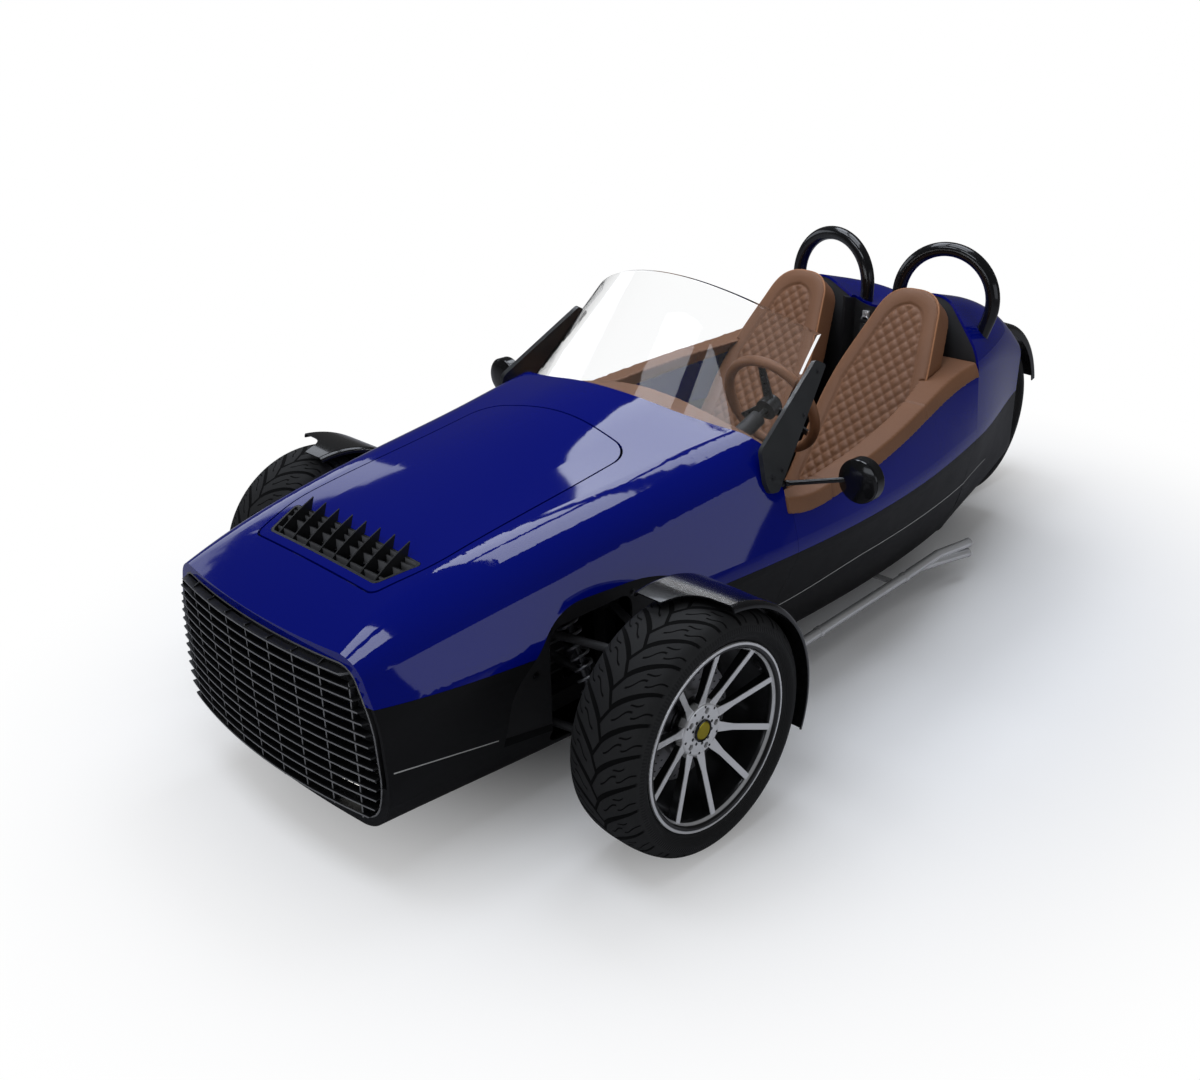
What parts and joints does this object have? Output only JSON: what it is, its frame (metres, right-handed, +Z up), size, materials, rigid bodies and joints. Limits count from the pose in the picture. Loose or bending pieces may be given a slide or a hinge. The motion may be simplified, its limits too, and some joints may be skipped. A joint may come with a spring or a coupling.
{
  "type": "three wheeled car",
  "caption": "Open two-seat three wheeled roadster with two steered front wheels, one rear wheel, cockpit, low windscreen, roll hoops and opening hood.",
  "frame": {"origin": "on the ground, midway along the car and across it", "axes": "the car faces -Y, its left side is +X, +Z is up"},
  "size_m": [1.736, 3.6215, 1.165],
  "materials": {
    "blue_paint": "gloss",
    "black_satin": "satin",
    "black_plastic": "matte",
    "black_gloss": "gloss",
    "tan_leather": "satin",
    "webbing": "woven",
    "glass": "clear",
    "chrome": "polished",
    "tyre": "matte",
    "machined_alloy": "machined",
    "brake_iron": "turned",
    "grey_metal": "cast",
    "frame_black": "satin",
    "lamp": "clear",
    "red_lens": "gloss"
  },
  "bodies": {
    "root": {"cockpit_trim": "tan_leather", "cockpit_tub": "black_satin", "coilovers": "grey_metal", "column_jacket": "black_plastic", "dashboard": "tan_leather", "engine": "grey_metal", "exhausts": "chrome", "firewall": "black_plastic", "floor_pan": "black_plastic", "front_body": "blue_paint", "front_frame": "frame_black", "front_lamps": "lamp", "grille": "black_plastic", "half_shafts": "grey_metal", "left_seat": "tan_leather", "lower_front_body": "black_satin", "lower_tail": "black_satin", "mirrors": "black_gloss", "radiator": "black_plastic", "rear_bulkhead": "black_plastic", "rear_fender": "black_gloss", "rear_frame": "frame_black", "rear_shock": "grey_metal", "right_seat": "tan_leather", "roll_hoops": "black_gloss", "screen_blades": "black_gloss", "seat_belts": "webbing", "side_panels": "blue_paint", "steering_rack": "grey_metal", "swingarm": "frame_black", "tail_body": "blue_paint", "tail_lights": "red_lens", "tail_panel": "black_satin", "wheel_wells": "black_plastic", "windscreen": "glass", "wishbones": "frame_black"},
    "hood": {"hood": "blue_paint", "hood_vent": "black_plastic"},
    "left_knuckle": {"left_knuckle": "grey_metal", "left_caliper": "grey_metal", "left_fender": "black_gloss"},
    "right_knuckle": {"right_knuckle": "grey_metal", "right_caliper": "grey_metal", "right_fender": "black_gloss"},
    "left_wheel": {"left_tyre": "tyre", "left_rim": "machined_alloy", "left_brake_disc": "brake_iron"},
    "right_wheel": {"right_tyre": "tyre", "right_rim": "machined_alloy", "right_brake_disc": "brake_iron"},
    "rear_wheel": {"rear_tyre": "tyre", "rear_rim": "machined_alloy", "rear_brake_disc": "brake_iron"},
    "steering_wheel": {"steering_wheel": "tan_leather"},
    "tie_rods": {"tie_rods": "grey_metal"}
  },
  "joints": [
    {"name": "left_steer", "type": "hinge", "parent": "root", "child": "left_knuckle", "pos_m": [0.7, -1.1, 0.318], "axis": [0, 0, 1], "range_deg": [-30, 30]},
    {"name": "right_steer", "type": "hinge", "parent": "root", "child": "right_knuckle", "pos_m": [-0.7, -1.1, 0.318], "axis": [0, 0, 1], "range_deg": [-30.5, 30.5]},
    {"name": "left_wheel_spin", "type": "hinge", "parent": "left_knuckle", "child": "left_wheel", "pos_m": [0.7575, -1.1, 0.318], "axis": [1, 0, 0], "continuous": true},
    {"name": "right_wheel_spin", "type": "hinge", "parent": "right_knuckle", "child": "right_wheel", "pos_m": [-0.7575, -1.1, 0.318], "axis": [1, 0, 0], "continuous": true},
    {"name": "rear_wheel_spin", "type": "hinge", "parent": "root", "child": "rear_wheel", "pos_m": [0, 1.44, 0.328], "axis": [1, 0, 0], "continuous": true},
    {"name": "steering_wheel_turn", "type": "hinge", "parent": "root", "child": "steering_wheel", "pos_m": [0.222, -0.118, 0.762], "axis": [0, -0.9272, -0.3746], "range_deg": [-422, 422]},
    {"name": "tie_rod_slide", "type": "slide", "parent": "root", "child": "tie_rods", "axis": [1, 0, 0], "range_m": [-0.05336, 0.05336]},
    {"name": "hood_open", "type": "hinge", "parent": "root", "child": "hood", "pos_m": [0, -1.672, 0.63137], "axis": [1, 0, 0], "range_deg": [0, 50]}
  ],
  "couplings": [
    {"joint": "right_steer", "follows": "left_steer", "ratio": 1},
    {"joint": "tie_rod_slide", "follows": "left_steer", "m_per_rad": -0.1},
    {"joint": "steering_wheel_turn", "follows": "left_steer", "ratio": -14}
  ]
}
